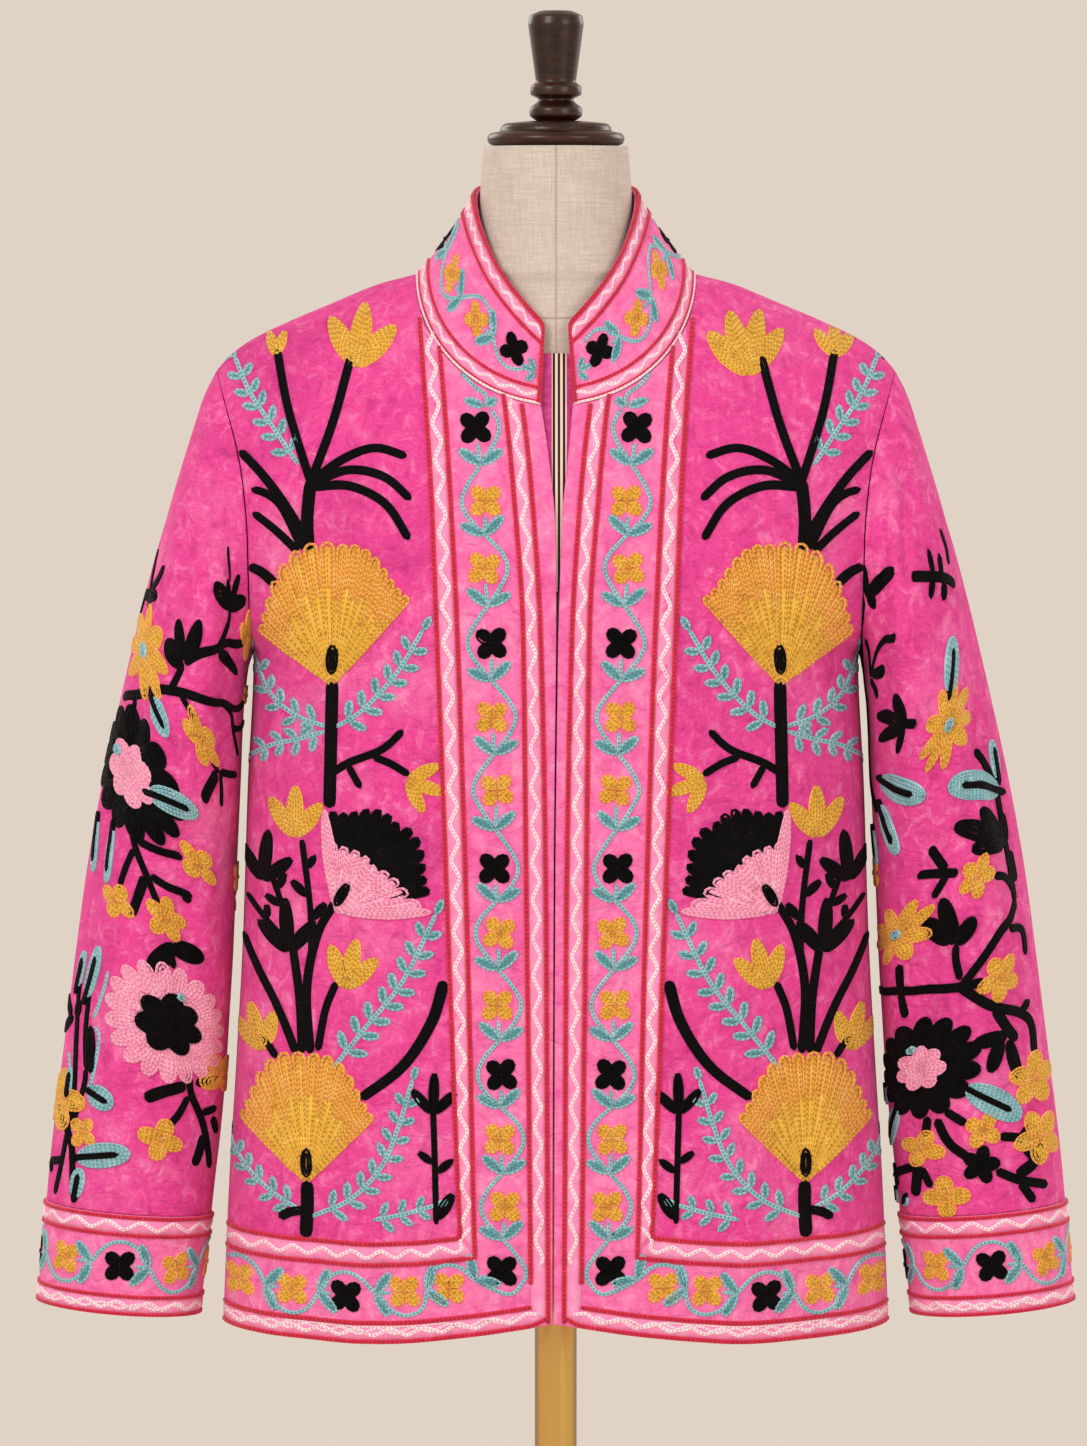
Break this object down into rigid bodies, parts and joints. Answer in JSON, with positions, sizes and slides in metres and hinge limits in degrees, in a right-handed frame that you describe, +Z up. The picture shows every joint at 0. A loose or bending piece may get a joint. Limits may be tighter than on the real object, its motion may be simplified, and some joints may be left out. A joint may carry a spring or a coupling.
{
  "type": "suzani jacket on a dress form",
  "caption": "Open-front embroidered velvet jacket with stand collar and long sleeves, hung on a limbless dress form with a turned wooden cap, brass pole and round foot.",
  "frame": {"origin": "centre of the round foot's underside, on the floor", "axes": "+Z up along the pole, the jacket's open front faces -Y, the wearer's right is at -X"},
  "size_m": [0.6766, 0.34, 1.4891],
  "materials": {
    "velvet": "mottled pink cotton velvet with a short nap",
    "border_velvet": "lighter pink velvet, edged with crimson and pale pink chain stitch",
    "striped_cloth": "plain weave with black and cream lengthwise stripes",
    "linen": "natural linen stretched over a shell",
    "dark_wood": "turned, stained dark and lacquered",
    "brass": "polished and lacquered"
  },
  "bodies": {
    "root": {"right_front": "velvet", "left_front": "velvet", "back": "velvet", "right_sleeve": "velvet", "left_sleeve": "velvet", "right_cuff": "border_velvet", "left_cuff": "border_velvet", "collar": "border_velvet", "inner_strip": "striped_cloth", "form_torso": "linen", "neck_cap": "dark_wood", "finial": "dark_wood", "pole": "brass", "base": "brass"}
  },
  "joints": []
}
